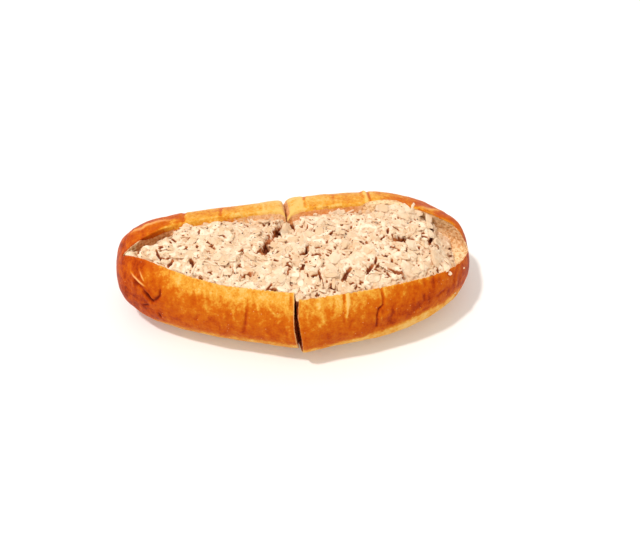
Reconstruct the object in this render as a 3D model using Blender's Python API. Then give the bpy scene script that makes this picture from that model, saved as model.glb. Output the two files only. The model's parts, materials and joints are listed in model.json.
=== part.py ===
"""Tuna sub.

A soft sub roll, split along its top and opened like a boat, with tuna salad heaped in the
split.  A knife has cut it in two across the middle, and the halves lie together.  Each half
is lofted: a closed ring of points is laid round the section at every station along the
length, and the rings are joined with faces.

Metres, +Z up.  +X runs along the roll, -Y is the side with the wider open cut edge.
"""
from dataclasses import dataclass

import bmesh
import bpy
import numpy as np

# ---- driving dimensions: the roll ----
ROLL_LENGTH = 0.257
HALF_LENGTH = ROLL_LENGTH / 2
WIDEST_LEVEL = 0.026        # height of the roll's widest line over its base
DOME_RISE = 0.0424          # the whole roll's dome over that line, before it was split
BASE_DEPTH = 0.029          # the round section under that line, of which the base cuts off a bit
SIDE_POWER = 2.6            # how square the section is, sideways
TOP_POWER = 2.4             # and up and down
END_ROUNDING = 1 / 2.2      # how round the roll's profile ends
BASE_SOFTNESS = 0.0010      # how softly the side turns into the flat base
BASE_CUT = 0.00025

# ---- driving dimensions: the cavity and the filling ----
FLOOR_LEVEL = 0.019         # bread left under the filling
CAVITY_POWER = 3.2          # how square the cavity's section is
CAVITY_END = (3.0, 0.6)     # the powers by which the cavity gets shallow towards its end
NARROW = 0.020              # where the split is narrower than this, the drops below shrink with it
BACK_UNDERCUT = 0.002
FRONT_DROP = 0.0012         # the filling stands this much under the front crust edge
BACK_DROP = 0.0085          # and this much under the back one
DROP_AT_CUT = 0.0025        # and more behind the cut
DROP_AT_CUT_ENDS = 0.12     # up to this share of the half's length
HEAP_RISE = 0.0068          # crown of the heap over a straight line between the walls
HEAP_POWER = 2.4            # how square the heap's crown is across the roll
HEAP_END_POWER = 8          # and how long it holds along the roll
LUMP_HEIGHTS = (0.0011, 0.0009)          # two kinds of lumps on the heap
LUMP_LENGTHS = (0.0072, 0.021, 0.0048)   # how long their waves are along the roll, over 2 pi
LUMP_TURNS = (7.0, 9.0, 11.0)            # how far they turn across the roll, in radians
LUMP_START = 1.3
CLEARANCE = 0.00045         # gap between the filling and the bread
END_CLEARANCE = 2.0         # and how much wider it gets at the ends, as a share
END_CLEARANCE_POWER = 6

# ---- driving dimensions: the cut across the middle ----
CUT_PLACE = -0.0040         # where it crosses the spine
CUT_SLOPE = -0.029          # it runs a little askew
GAP_BACK = 0.00025          # half the gap between the halves at the back
GAP_FRONT = 0.0012          # and at the front, where they have opened
GAP_OPENS = (-0.045, 0.065)  # from where to where the gap widens, towards the front
FILLING_GAP = 0.0002
PRESSED_FROM_TO = (0.72, 0.92)  # the share of the outer curve that the knife pressed in
PRESSED_IN = 0.20           # shares of the corner's radius, towards the middle
PRESSED_DOWN = 0.62         # and down

# ---- how finely the rings are laid ----
RING_POINTS = 29            # on the outside, and as many on the inside
TOP_POINTS = 13             # over the heap
STATIONS = 15
CUT_STATIONS = (0.0, 0.012, 0.034, 0.066)
AFTER_CUT = 0.02            # least share of the length between the last of these and the next one
BEFORE_END = 0.004
TIP_STATIONS = 18
SAMPLES = 400               # points on a smooth curve before it is spaced out evenly
MERGE = 1e-6
SMOOTH_UP_TO = 40           # degrees between faces

# ---- colours, as linear amounts of red, green and blue ----
CRUST_COLOUR = (0.62, 0.27, 0.07)
CRUST_ROUGHNESS = 0.45
SALAD_COLOUR = (0.80, 0.64, 0.44)
SALAD_ROUGHNESS = 0.55


@dataclass
class Half:
    """The measures of one half, along a = 0 at the cut to a = 1 at its end."""
    side: int               # -1 the left half, +1 the right half
    width: float            # at the cut
    taper: float            # share of the width lost to a straight taper
    plan_power: float       # how long the width holds before the end rounds off
    plan_round: float
    rise_power: float       # how long the height holds
    rise_gain: float
    lift: float             # how much the widest line climbs towards the end
    spine: tuple            # y of the middle: at the cut, its slope, its curve
    front_share: tuple      # cut edge in front, as a share of the half width
    back_share: tuple       # cut edge behind
    slit_end: float         # where the split ends
    slit_round: float       # how bluntly it ends
    corner: float           # radius of the crust corner that the knife pressed in, behind
    filling_end: float      # where the filling ends, as a share of the split
    step: tuple             # where the heap steps down, over what length, and by how much


LEFT = Half(side=-1, width=0.1231, taper=0.402, plan_power=3.87, plan_round=3.09,
            rise_power=6.4, rise_gain=-0.08, lift=0.0043, spine=(-0.0081, 0.0039, 0.0059),
            front_share=(0.748, 0.770, 0.02), back_share=(0.447, 2.045, -0.115),
            slit_end=0.950, slit_round=40.0, corner=0.0060, filling_end=0.970,
            step=(2.0, 0.1, 0.0))
RIGHT = Half(side=1, width=0.1266, taper=0.010, plan_power=2.76, plan_round=2.22,
             rise_power=3.29, rise_gain=0.046, lift=0.0, spine=(-0.0087, 0.0110, 0.0023),
             front_share=(0.795, 0.0, 0.149), back_share=(0.410, 0.633, 0.40),
             slit_end=0.982, slit_round=28.0, corner=0.0095, filling_end=0.905,
             step=(0.765, 0.06, 0.0045))


def power(value, exponent):
    """A power that keeps the sign, as superellipses need."""
    return np.sign(value) * np.abs(value) ** exponent


def smooth_step(value, start, end):
    t = np.clip((value - start) / (end - start), 0.0, 1.0)
    return t * t * (3 - 2 * t)


# ---- the roll's outside ----

def half_width(half, a):
    end = max(1 - a ** half.plan_power, 0.0) ** (1 / half.plan_round)
    return half.width / 2 * (1 - half.taper * a) * end


def height_scale(half, a):
    return (1 + half.rise_gain * a) * max(1 - a ** half.rise_power, 0.0) ** END_ROUNDING


def spine_y(half, a):
    start, slope, curve = half.spine
    return start + slope * a + curve * a * a


def shares(half, a):
    """The cut edges in front and behind at a station, as shares of the half width."""
    front, back = (s[0] * (1 - s[1] * a ** 4 - s[2] * a ** 12)
                   for s in (half.front_share, half.back_share))
    middle = (back - front) / 2
    opening = max((back + front) / 2, 0.0)
    opening *= max(1 - (a / half.slit_end) ** half.slit_round, 0.0) ** 0.5
    return middle - opening, middle + opening


def section_point(half, a, angle):
    """Points on the outer section, at angles from +Y up over the dome."""
    middle = WIDEST_LEVEL + half.lift * a * a
    scale = height_scale(half, a)
    sine, cosine = np.sin(angle), np.cos(angle)
    rise = np.where(sine > 0, DOME_RISE, BASE_DEPTH + half.lift * a * a) * scale
    y = spine_y(half, a) + half_width(half, a) * power(cosine, 2 / SIDE_POWER)
    z = middle + rise * power(sine, 2 / TOP_POWER)
    soft = BASE_SOFTNESS * np.logaddexp(0.0, z / BASE_SOFTNESS)
    return y, np.maximum(soft - BASE_CUT, 0.0)


def spaced_out(y, z, count):
    """The same curve with its points an equal way apart."""
    run = np.concatenate([[0.0], np.cumsum(np.hypot(np.diff(y), np.diff(z)))])
    if run[-1] == 0:
        return np.full(count, y[0]), np.full(count, z[0])
    steps = np.linspace(0.0, run[-1], count)
    return np.interp(steps, run, y), np.interp(steps, run, z)


def outer_curve(half, a):
    """From the front cut edge down round the base and up to the back cut edge."""
    front, back = shares(half, min(a, half.slit_end))
    front_angle = np.pi - np.arccos(power(-front, SIDE_POWER / 2))
    back_angle = 2 * np.pi + np.arccos(power(back, SIDE_POWER / 2))
    angle = np.linspace(front_angle, back_angle, SAMPLES)
    return spaced_out(*section_point(half, a, angle), RING_POINTS)


def pressed_corner(half, a, y, z):
    """Round the crust over at the back of the cut, where the knife came down."""
    distance = a * HALF_LENGTH
    if distance >= half.corner:
        return y, z
    inset = half.corner - np.sqrt(half.corner ** 2 - (half.corner - distance) ** 2)
    weight = smooth_step(np.linspace(0.0, 1.0, len(y)), *PRESSED_FROM_TO)
    return y - PRESSED_IN * weight * inset, z - PRESSED_DOWN * weight * inset


# ---- the cavity ----

def cavity_curve(half, a):
    """From the front cut edge down the wall, over the floor and up to the back cut edge."""
    y, z = outer_curve(half, a)
    rim_y, rim_z = pressed_corner(half, a, y, z)
    front_y, front_z, back_y, back_z = y[0], z[0], y[-1], z[-1]
    if a >= half.slit_end:
        return np.full(RING_POINTS, front_y), np.full(RING_POINTS, front_z)
    reach = a / half.slit_end
    drop_share = min(1.0, (back_y - front_y) / NARROW)
    front_z -= FRONT_DROP * drop_share
    back_z -= (BACK_DROP + DROP_AT_CUT * (1 - smooth_step(a, 0.0, DROP_AT_CUT_ENDS))) * drop_share
    back_y += BACK_UNDERCUT * drop_share
    depth_share = (1 - reach ** CAVITY_END[0]) ** CAVITY_END[1]
    turn = np.linspace(0.0, np.pi, SAMPLES)
    top = front_z + (back_z - front_z) * turn / np.pi
    floor = top + (FLOOR_LEVEL - top) * depth_share
    middle, reach_y = (front_y + back_y) / 2, (back_y - front_y) / 2
    bowl_y = middle - reach_y * power(np.cos(turn), 2 / CAVITY_POWER)
    bowl_z = top + (floor - top) * power(np.sin(turn), 2 / CAVITY_POWER)
    bowl_y, bowl_z = spaced_out(bowl_y, bowl_z, RING_POINTS - 2)
    return (np.concatenate([[rim_y[0]], bowl_y, [rim_y[-1]]]),
            np.concatenate([[rim_z[0]], bowl_z, [rim_z[-1]]]))


# ---- the cut and the stations ----

def cut_plane(y):
    return CUT_PLACE + CUT_SLOPE * y


def roll_gap(y):
    """Half the gap at the cut, which opens towards the front."""
    return GAP_BACK + (GAP_FRONT - GAP_BACK) * smooth_step(-y, *GAP_OPENS)


def filling_gap(y):
    return np.full_like(y, FILLING_GAP)


def along(half, a, y, gap):
    """x of a ring's points: at the cut they lie on its plane, at the end on the tip."""
    at_cut = cut_plane(y) + half.side * gap(y)
    return at_cut * (1 - a) + half.side * a * HALF_LENGTH


def stations(end):
    """Shares of the length, close together at the cut and towards the end."""
    even = np.sin(np.linspace(0.0, np.pi / 2, STATIONS))
    inside = [a for a in even if CUT_STATIONS[-1] + AFTER_CUT < a < end - BEFORE_END]
    return [*CUT_STATIONS, *inside, end]


# ---- rings into solids ----

def loft(rings):
    """Join closed rings with faces. Returns the mesh and its vertices, ring by ring."""
    bm = bmesh.new()
    rows = [[bm.verts.new(point) for point in ring] for ring in rings]
    for near, far in zip(rows, rows[1:]):
        for i in range(len(near)):
            j = (i + 1) % len(near)
            bm.faces.new((near[i], near[j], far[j], far[i]))
    return bm, rows


def finish(bm, name, material):
    """Merge what coincides, which also closes the tips, and make the solid's object."""
    bmesh.ops.remove_doubles(bm, verts=bm.verts, dist=MERGE)
    bmesh.ops.recalc_face_normals(bm, faces=bm.faces)
    mesh = bpy.data.meshes.new(name)
    bm.to_mesh(mesh)
    bm.free()
    mesh.materials.append(material)
    mesh.shade_smooth()
    mesh.set_sharp_from_angle(angle=np.radians(SMOOTH_UP_TO))
    piece = bpy.data.objects.new(name, mesh)
    bpy.context.collection.objects.link(piece)
    return piece


def roll_half(name, half, material):
    """Outer points and cavity points in one ring; past the split only the outside is left."""
    even = np.sin(np.linspace(0.0, np.pi / 2, TIP_STATIONS))
    places = stations(half.slit_end) + [a for a in even if a > half.slit_end + BEFORE_END]
    rings = []
    for a in places:
        outer_y, outer_z = pressed_corner(half, a, *outer_curve(half, a))
        inner_y, inner_z = cavity_curve(half, a)
        y = np.concatenate([outer_y, inner_y[::-1]])
        z = np.concatenate([outer_z, inner_z[::-1]])
        if a > half.slit_end:
            y[RING_POINTS:], z[RING_POINTS:] = y[0], z[0]
        rings.append(list(zip(along(half, a, y, roll_gap), y, z)))
    bm, rows = loft(rings)
    first = rows[0]
    for i in range(RING_POINTS - 1):
        bm.faces.new((first[i], first[-1 - i], first[-2 - i], first[i + 1]))
    return finish(bm, name, material)


def heap_top(half, a, share, near_end):
    """Height of the heap over a straight line between the walls, uneven as spooned salad is."""
    x = half.side * a * HALF_LENGTH
    across = (1 - np.abs(2 * share - 1) ** HEAP_POWER)
    start, length, drop = half.step
    level = HEAP_RISE - drop * smooth_step(a, start, start + length)
    turns = [turn * share for turn in LUMP_TURNS]
    short, long, shortest = (x / length for length in LUMP_LENGTHS)
    lumps = (LUMP_HEIGHTS[0] * np.sin(short + turns[0]) * np.sin(turns[1] + long)
             + LUMP_HEIGHTS[1] * np.sin(shortest - turns[2] + LUMP_START))
    return across * (level + lumps) * near_end


def filling_half(name, half, material):
    end = half.slit_end * half.filling_end
    rings = []
    for a in stations(end):
        y, z = cavity_curve(half, a)
        wider = END_CLEARANCE * (a / end) ** END_CLEARANCE_POWER
        y, z = inward(y[1:-1], z[1:-1], CLEARANCE * (1 + wider))
        near_end = (1 - (a / end) ** HEAP_END_POWER) ** 0.5
        share = np.linspace(1.0, 0.0, TOP_POINTS + 2)[1:-1]
        top_y = y[0] + (y[-1] - y[0]) * share
        top_z = z[0] + (z[-1] - z[0]) * share + heap_top(half, a, share, near_end)
        y, z = np.concatenate([y, top_y]), np.concatenate([z, top_z])
        rings.append(list(zip(along(half, a, y, filling_gap), y, z)))
    bm, rows = loft(rings)
    bm.faces.new(rows[0])
    bm.faces.new(rows[-1])
    return finish(bm, name, material)


def inward(y, z, distance):
    """Move an open curve's points to its inner side."""
    along_y, along_z = np.gradient(y), np.gradient(z)
    length = np.maximum(np.hypot(along_y, along_z), 1e-9)
    return y - along_z / length * distance, z + along_y / length * distance


# ---- materials and the object ----

def principled(name, colour, roughness):
    material = bpy.data.materials.new(name)
    material.use_nodes = True
    shader = material.node_tree.nodes["Principled BSDF"]
    shader.inputs["Base Color"].default_value = (*colour, 1.0)
    shader.inputs["Roughness"].default_value = roughness
    shader.inputs["Metallic"].default_value = 0.0
    material.diffuse_color = (*colour, 1.0)
    return material


def stand_on_origin(pieces):
    """Bring the middle of the base to the origin."""
    corners = np.array([tuple(v.co) for piece in pieces for v in piece.data.vertices])
    low, high = corners.min(axis=0), corners.max(axis=0)
    shift = np.array([(low[0] + high[0]) / 2, (low[1] + high[1]) / 2, low[2]])
    for piece in pieces:
        for vertex in piece.data.vertices:
            vertex.co = np.array(vertex.co) - shift
    return low - shift, high - shift


def main():
    for thing in list(bpy.data.objects):
        bpy.data.objects.remove(thing, do_unlink=True)
    crust = principled("crust", CRUST_COLOUR, CRUST_ROUGHNESS)
    salad = principled("tuna_salad", SALAD_COLOUR, SALAD_ROUGHNESS)
    pieces = [roll_half("roll_left", LEFT, crust), roll_half("roll_right", RIGHT, crust),
              filling_half("filling_left", LEFT, salad), filling_half("filling_right", RIGHT, salad)]
    low, high = stand_on_origin(pieces)
    print("length, width, height in mm:", np.round((high - low) * 1000, 1))


main()
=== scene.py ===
# %% [markdown]
# # A tuna sub
#
# A soft sub roll is split along its top, opened like a boat, heaped with tuna salad and cut
# across the middle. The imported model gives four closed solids: two halves of bread and two
# halves of salad. They have the right size and place, but they are smooth. This script keeps
# their size and makes what the eye wants to see: baked crust, torn crumb, flakes and pepper.

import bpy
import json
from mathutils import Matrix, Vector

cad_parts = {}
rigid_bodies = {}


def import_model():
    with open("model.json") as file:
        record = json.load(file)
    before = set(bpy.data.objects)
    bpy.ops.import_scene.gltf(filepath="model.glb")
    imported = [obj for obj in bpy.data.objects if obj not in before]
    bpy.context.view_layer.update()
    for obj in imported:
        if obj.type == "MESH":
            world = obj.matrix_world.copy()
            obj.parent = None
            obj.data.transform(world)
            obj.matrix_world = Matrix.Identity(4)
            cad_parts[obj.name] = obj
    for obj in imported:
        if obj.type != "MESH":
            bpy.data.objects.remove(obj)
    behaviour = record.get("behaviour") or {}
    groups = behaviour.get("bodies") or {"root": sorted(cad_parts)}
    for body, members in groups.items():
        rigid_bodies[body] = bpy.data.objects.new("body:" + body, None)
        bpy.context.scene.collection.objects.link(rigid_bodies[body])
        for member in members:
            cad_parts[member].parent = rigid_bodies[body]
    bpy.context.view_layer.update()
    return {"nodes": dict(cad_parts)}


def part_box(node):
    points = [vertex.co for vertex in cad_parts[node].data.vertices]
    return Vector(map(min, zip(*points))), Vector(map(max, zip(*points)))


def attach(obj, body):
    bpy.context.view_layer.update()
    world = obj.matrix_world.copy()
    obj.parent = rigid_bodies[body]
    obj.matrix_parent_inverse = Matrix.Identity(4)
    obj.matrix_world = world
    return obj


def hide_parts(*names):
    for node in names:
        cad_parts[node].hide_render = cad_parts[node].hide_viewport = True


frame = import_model()

# %% Modules and the two units
import json
import math
from collections import namedtuple

import bpy
import numpy as np
from mathutils import Matrix, Vector
from mathutils.bvhtree import BVHTree
from mathutils.kdtree import KDTree

MM = 0.001
HALVES = ("left", "right")
print("nodes:", sorted(frame["nodes"]))

# %% [markdown]
# ## The camera
#
# The sub is seen from a little to the left and from 46 degrees up, through a long lens, so
# its far side looks nearly as long as its near side. A camera looks along its own -Z, so
# `to_track_quat` turns that axis on the point it looks at. A small lens shift then frames the
# sub left of the middle without turning the camera.

# %% Camera
LOOK_AT = Vector((0, 7.5, 25)) * MM
CAMERA_AZIMUTH = math.radians(-3.88)
CAMERA_ELEVATION = math.radians(46.3)
CAMERA_DISTANCE = 874 * MM
CAMERA_LENS = 67.5
CAMERA_SHIFT = (0.0403, -0.0094)

towards_camera = Vector((
    math.sin(CAMERA_AZIMUTH) * math.cos(CAMERA_ELEVATION),
    -math.cos(CAMERA_AZIMUTH) * math.cos(CAMERA_ELEVATION),
    math.sin(CAMERA_ELEVATION),
))
bpy.ops.object.camera_add(location=LOOK_AT + towards_camera * CAMERA_DISTANCE)
camera = bpy.context.object
camera.rotation_euler = (-towards_camera).to_track_quat("-Z", "Y").to_euler()
camera.data.lens = CAMERA_LENS
camera.data.shift_x, camera.data.shift_y = CAMERA_SHIFT
bpy.context.scene.camera = camera
print("camera at", tuple(round(v, 3) for v in camera.location))

# %% [markdown]
# ## Light
#
# Bright studio pictures of food have a white room, which lights every side softly, and one
# lamp that gives short shadows. A world colour is the room, a little warm, because light
# that reached a roll by way of its own crust is warm. A sun lamp of a few degrees is
# the lamp: it stands high, to the left and a little behind, so that relief on the salad
# throws shadows towards the viewer.

# %% Room and lamp
ROOM_STRENGTH = 0.86
ROOM_COLOUR = (1.0, 0.955, 0.895, 1.0)
LAMP_STRENGTH = 1.85
LAMP_WIDTH = math.radians(5)
TOWARDS_LAMP = Vector((-0.38, -0.10, 0.92))

world = bpy.data.worlds.new("white room")
bpy.context.scene.world = world
world.use_nodes = True
room = world.node_tree.nodes["Background"]
room.inputs["Color"].default_value = ROOM_COLOUR
room.inputs["Strength"].default_value = ROOM_STRENGTH

bpy.ops.object.light_add(type="SUN", location=TOWARDS_LAMP)
lamp = bpy.context.object
lamp.rotation_euler = TOWARDS_LAMP.to_track_quat("Z", "Y").to_euler()
lamp.data.energy = LAMP_STRENGTH
lamp.data.angle = LAMP_WIDTH
bpy.context.scene.view_settings.view_transform = "Standard"
print("room", ROOM_STRENGTH, "lamp", LAMP_STRENGTH)

# %% [markdown]
# ## Shader sums
#
# A baked crust is a sum of many small effects, and sums are easier to read as expressions
# than as nodes. `Wire` wraps one output of a node, and its operators add Math nodes. `Finish`
# makes a material, and its `node` method makes any other node: the settings come first,
# because some of them change which sockets the node has.

# %% Wires
class Wire:
    """One number, colour or vector in a material, which can be used in a Python sum."""

    def __init__(self, finish, output):
        self.finish, self.output = finish, output

    def math(self, operation, first, second):
        return self.finish.node("Math", {"operation": operation}, {0: first, 1: second})

    def __add__(self, other):
        return self.math("ADD", self, other)

    def __sub__(self, other):
        return self.math("SUBTRACT", self, other)

    def __rsub__(self, other):
        return self.math("SUBTRACT", other, self)

    def __mul__(self, other):
        return self.math("MULTIPLY", self, other)

    __radd__, __rmul__ = __add__, __mul__


# %% Finishes
COLOUR_MIX = {"data_type": "RGBA"}
MIX_FACTOR, MIX_FIRST, MIX_SECOND, MIX_RESULT = 0, 6, 7, 2
VALUE = "Fac"


class Finish:
    """A material with one Principled BSDF, built from sums."""

    def __init__(self, name, **shader):
        self.material = bpy.data.materials.new(name)
        self.material.use_nodes = True
        self.tree = self.material.node_tree
        self.shader = self.tree.nodes["Principled BSDF"]
        self.places = self.node("TexCoord", output="Object")
        for socket, value in shader.items():
            self.feed(self.shader.inputs[socket.replace("_", " ")], value)

    def feed(self, socket, value):
        if isinstance(value, Wire):
            self.tree.links.new(value.output, socket)
        else:
            socket.default_value = value

    def node(self, kind, settings={}, sockets={}, output=0):
        made = self.tree.nodes.new("ShaderNode" + kind)
        for name, value in settings.items():
            if name == "stops":
                set_stops(made.color_ramp, value)
            else:
                setattr(made, name, value)
        for name, value in sockets.items():
            self.feed(made.inputs[name], value)
        return Wire(self, made.outputs[output])

    def painted(self, name):
        return self.node("Attribute", {"attribute_name": name}, output=VALUE)

    def noise(self, size, detail=3.0, roughness=0.5, squeeze=(1.0, 1.0, 1.0)):
        """Cloudy noise around 0.5 in lumps of a size in metres, longer where squeeze is small."""
        places = self.node("Mapping", {}, {"Vector": self.places, "Scale": squeeze})
        sockets = {"Vector": places, "Scale": 1 / size, "Detail": detail, "Roughness": roughness}
        return self.node("TexNoise", {}, sockets, VALUE)

    def uneven(self, size, amount, *settings):
        """The same noise around 0, which differs by about that amount from low to high."""
        return (self.noise(size, *settings) - 0.5) * amount

    def cells(self, size):
        """The distance from the nearest of many scattered points, in cells of that size."""
        return self.node("TexVoronoi", {}, {"Vector": self.places, "Scale": 1 / size}, "Distance")

    def ramp(self, value, stops):
        return self.node("ValToRGB", {"stops": stops}, {"Fac": value})

    def step(self, value, low, high):
        """0 below low, 1 above high and straight in between, or the reverse where low is above."""
        sockets = {"Value": value, "From Min": low, "From Max": high}
        return self.node("MapRange", {"clamp": True}, sockets)

    def mix(self, share, first, second):
        sockets = {MIX_FACTOR: share, MIX_FIRST: first, MIX_SECOND: second}
        return self.node("Mix", COLOUR_MIX, sockets, MIX_RESULT)

    def bump(self, height, distance, strength):
        sockets = {"Height": height, "Distance": distance, "Strength": strength}
        self.feed(self.shader.inputs["Normal"], self.node("Bump", {}, sockets))

    def paint(self, socket, value):
        self.feed(self.shader.inputs[socket], value)


# %% Colours and ramps
def shade(red, green, blue):
    """A colour as a screen shows it, 0 to 255, as the light amounts that a shader takes."""
    screen = np.array((red, green, blue)) / 255
    linear = np.where(screen > 0.04045, ((screen + 0.055) / 1.055) ** 2.4, screen / 12.92)
    return (*(float(v) for v in linear), 1.0)


def set_stops(ramp, stops):
    """Gives a colour ramp the stops {place: colour}, and keeps its first two elements."""
    places = sorted(stops)
    while len(ramp.elements) < len(places):
        ramp.elements.new(1.0)
    for element, place in zip(ramp.elements, places):
        element.position, element.color = place, stops[place]


print("golden crust is", [round(v, 3) for v in shade(236, 143, 50)])

# %% [markdown]
# ## Working on a copy of a solid
#
# A CAD node is a soup of loose triangles and has to stay as it is. So each piece starts as a
# copy that is merged into one closed skin. Its flat facets are then rounded with Subdivision
# Surface, where edges that are sharp in the real thing, such as the cut rims, get a crease
# first. A voxel Remesh gives an even net of small faces over it all, which takes relief
# equally well everywhere.

# %% Copying a solid
MERGE_WITHIN = 0.01 * MM
QUAD_ANGLE = math.radians(60)
RIM_CREASE = 0.9


def pick(piece):
    """Makes the piece the only selected object and the active one."""
    bpy.ops.object.select_all(action="DESELECT")
    piece.select_set(True)
    bpy.context.view_layer.objects.active = piece


def apply_modifier(piece, kind, **settings):
    pick(piece)
    modifier = piece.modifiers.new(kind.title(), kind)
    for name, value in settings.items():
        setattr(modifier, name, value)
    bpy.ops.object.modifier_apply(modifier=modifier.name)


def skin_copy(node_name, name, sharp_edge, rounds):
    """A merged and rounded copy of a CAD node."""
    piece = bpy.data.objects.new(name, frame["nodes"][node_name].data.copy())
    bpy.context.collection.objects.link(piece)
    pick(piece)
    piece.data.materials.clear()
    bpy.ops.object.mode_set(mode="EDIT")
    bpy.ops.mesh.select_all(action="SELECT")
    bpy.ops.mesh.customdata_custom_splitnormals_clear()
    bpy.ops.mesh.remove_doubles(threshold=MERGE_WITHIN)
    bpy.ops.mesh.tris_convert_to_quads(face_threshold=sharp_edge, shape_threshold=QUAD_ANGLE)
    bpy.ops.mesh.select_all(action="DESELECT")
    bpy.ops.mesh.select_mode(type="EDGE")
    bpy.ops.mesh.edges_select_sharp(sharpness=sharp_edge)
    bpy.ops.transform.edge_crease(value=RIM_CREASE)
    bpy.ops.object.mode_set(mode="OBJECT")
    apply_modifier(piece, "SUBSURF", levels=rounds, render_levels=rounds)
    return piece


print("edges are merged within", MERGE_WITHIN / MM, "mm")


# %% Reading and writing vertices
def read(piece, what="co"):
    values = np.empty(len(piece.data.vertices) * 3, np.float32)
    piece.data.vertices.foreach_get(what, values)
    return values.reshape(-1, 3).astype(float)


def write(piece, places):
    piece.data.vertices.foreach_set("co", places.astype(np.float32).ravel())
    piece.data.update()


def paint(piece, name, values):
    """Stores one number for each vertex, for a material to read."""
    layer = piece.data.attributes.new(name, "FLOAT", "POINT")
    layer.data.foreach_set("value", values.astype(np.float32))


def soft_step(values, low, high):
    share = np.clip((values - low) / (high - low), 0, 1)
    return share * share * (3 - 2 * share)


def hollows(piece, rounds):
    """How far each vertex lies below its surroundings, in millimetres, by repeated averaging."""
    ends = np.empty(len(piece.data.edges) * 2, np.int32)
    piece.data.edges.foreach_get("vertices", ends)
    first, second = ends.reshape(-1, 2).T
    places = read(piece)
    total = len(places)
    neighbours = np.bincount(first, minlength=total) + np.bincount(second, minlength=total)
    averaged = places
    for _ in range(rounds):
        sums = [
            np.bincount(first, axis[second], total) + np.bincount(second, axis[first], total)
            for axis in averaged.T
        ]
        averaged = np.column_stack(sums) / neighbours[:, None]
    return ((averaged - places) * read(piece, "normal")).sum(axis=1) / MM


def thin_out(piece, most_triangles):
    """Joins faces where the surface is flat until the piece has at most that many triangles."""
    triangles = sum(len(face.vertices) - 2 for face in piece.data.polygons)
    if triangles > most_triangles:
        apply_modifier(piece, "DECIMATE", ratio=most_triangles / triangles)
    pick(piece)
    bpy.ops.object.shade_smooth()
    print(piece.name, "has", len(piece.data.polygons), "faces, from", triangles, "triangles")


# %% [markdown]
# ## Relief from textures
#
# Bread is never as smooth as a lofted skin. A Displace modifier moves each vertex along its
# normal by a procedural texture: wide, low clouds for the slumps of soft dough, and small
# cells for the holes of the crumb.

# %% Displacement
def displace(piece, pattern, size, height, group="", middle=0.5):
    texture = bpy.data.textures.new(f"{piece.name} {pattern.lower()} {size / MM:.1f} mm", pattern)
    texture.noise_scale = size
    settings = {"texture": texture, "strength": height, "mid_level": middle, "vertex_group": group}
    apply_modifier(piece, "DISPLACE", texture_coords="LOCAL", **settings)


def group_of(piece, name, chosen):
    group = piece.vertex_groups.new(name=name)
    group.add([int(i) for i in np.flatnonzero(chosen)], 1.0, "REPLACE")


# %% [markdown]
# ## Creases, ridges and cracks
#
# A sub roll wrinkles where it was bent, and its crust cracks in thin lines that run from the
# rim down its side. Each line is a short path seen from the front, in millimetres along the
# roll and above the table. A vertex near the path sinks by a bell curve of its distance, and
# the skin beside a deep line swells a little, as pressed dough does. A line with a negative
# depth is a ridge.

# %% Lines on the front
# The last number of a line is painted shade along a crease, and below 0 a painted highlight along a
# ridge.
Line = namedtuple("Line", "path depth width dark")
FRONT_LINES = {
    "left": (
        Line(((-106, 42), (-103.5, 39), (-101.5, 37)), 1.8, 1.4, 1.3),
        Line(((-101.5, 37), (-99, 39.5), (-96, 43.5), (-95, 50)), 0.9, 1.1, 0.8),
        Line(((-108, 29.5), (-104.5, 32)), 0.8, 1.0, 0.8),
        Line(((-97.5, 27), (-96.5, 22.5)), 0.8, 1.0, 0.7),
        Line(((-115, 50.5), (-110.5, 49), (-106, 47)), -0.6, 1.1, -0.8),
        Line(((-109, 55), (-106, 50)), -0.5, 1.1, -0.6),
        Line(((-112, 47), (-107, 44)), 0.5, 1.2, 0.3),
        Line(((-71.5, 53), (-72.5, 44.5)), 0.45, 1.8, 0.3),
        Line(((-69.5, 36), (-72, 29.5)), 0.45, 1.6, 0.3),
        Line(((-35.5, 52), (-35.5, 49), (-37, 42), (-39, 25.5)), 0.45, 1.2, 0.5),
        Line(((-22.5, 50.5), (-17.5, 45)), -0.4, 1.6, -0.3),
        Line(((-5.5, 58), (-7, 51)), 0.4, 1.2, 0.3),
        Line(((-53, 54), (-54, 47)), 0.3, 2.2, 0.1),
    ),
    "right": (
        Line(((32.5, 57), (33, 52), (31, 39)), -0.45, 1.2, -0.5),
        Line(((30, 57), (30.5, 50)), 0.45, 1.4, 0.4),
        Line(((56, 55), (57.5, 49), (57, 45), (54, 43), (53.2, 38), (53, 29)), 0.8, 1.0, 0.6),
        Line(((58.5, 44), (63, 42), (64.5, 37), (62, 32)), 0.22, 1.6, 0.12),
        Line(((60.5, 40), (59.5, 35)), -0.6, 3.2, -0.1),
        Line(((87, 52), (88, 48)), 0.5, 1.2, 0.5),
        Line(((94, 51), (95, 46)), 0.5, 1.3, 0.5),
        Line(((97.5, 37), (103.5, 37.5)), 0.4, 1.3, 0.3),
        Line(((12, 55), (14, 46), (19, 36)), -0.3, 2.4, -0.2),
        Line(((73, 53), (71, 44)), -0.3, 2.2, -0.2),
    ),
}

print("lines on the front:", {half: len(lines) for half, lines in FRONT_LINES.items()})

# %% Lines on the back
BACK_LINES = {
    "left": (
        Line(((-78, 67), (-77, 50)), 0.5, 1.3, 0.5),
        Line(((-118, 55), (-108, 60.5), (-98, 63), (-84, 64.5)), -0.5, 1.0, -0.6),
        Line(((-52, 66), (-50, 58)), 0.4, 1.2, 0.3),
        Line(((-20, 66), (-22, 57)), -0.4, 1.4, -0.2),
    ),
    "right": (
        Line(((9, 67), (10, 52)), 0.5, 1.3, 0.4),
        Line(((54, 68), (54, 54)), -0.8, 1.5, -0.3),
        Line(((56.5, 68), (56.5, 50)), 0.4, 1.0, 0.5),
        Line(((90, 62), (100, 57), (112, 48)), -0.5, 1.1, -0.5),
        Line(((30, 67), (31, 60)), 0.3, 1.2, 0.2),
    ),
}
print("lines on the back:", {half: len(lines) for half, lines in BACK_LINES.items()})

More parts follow.
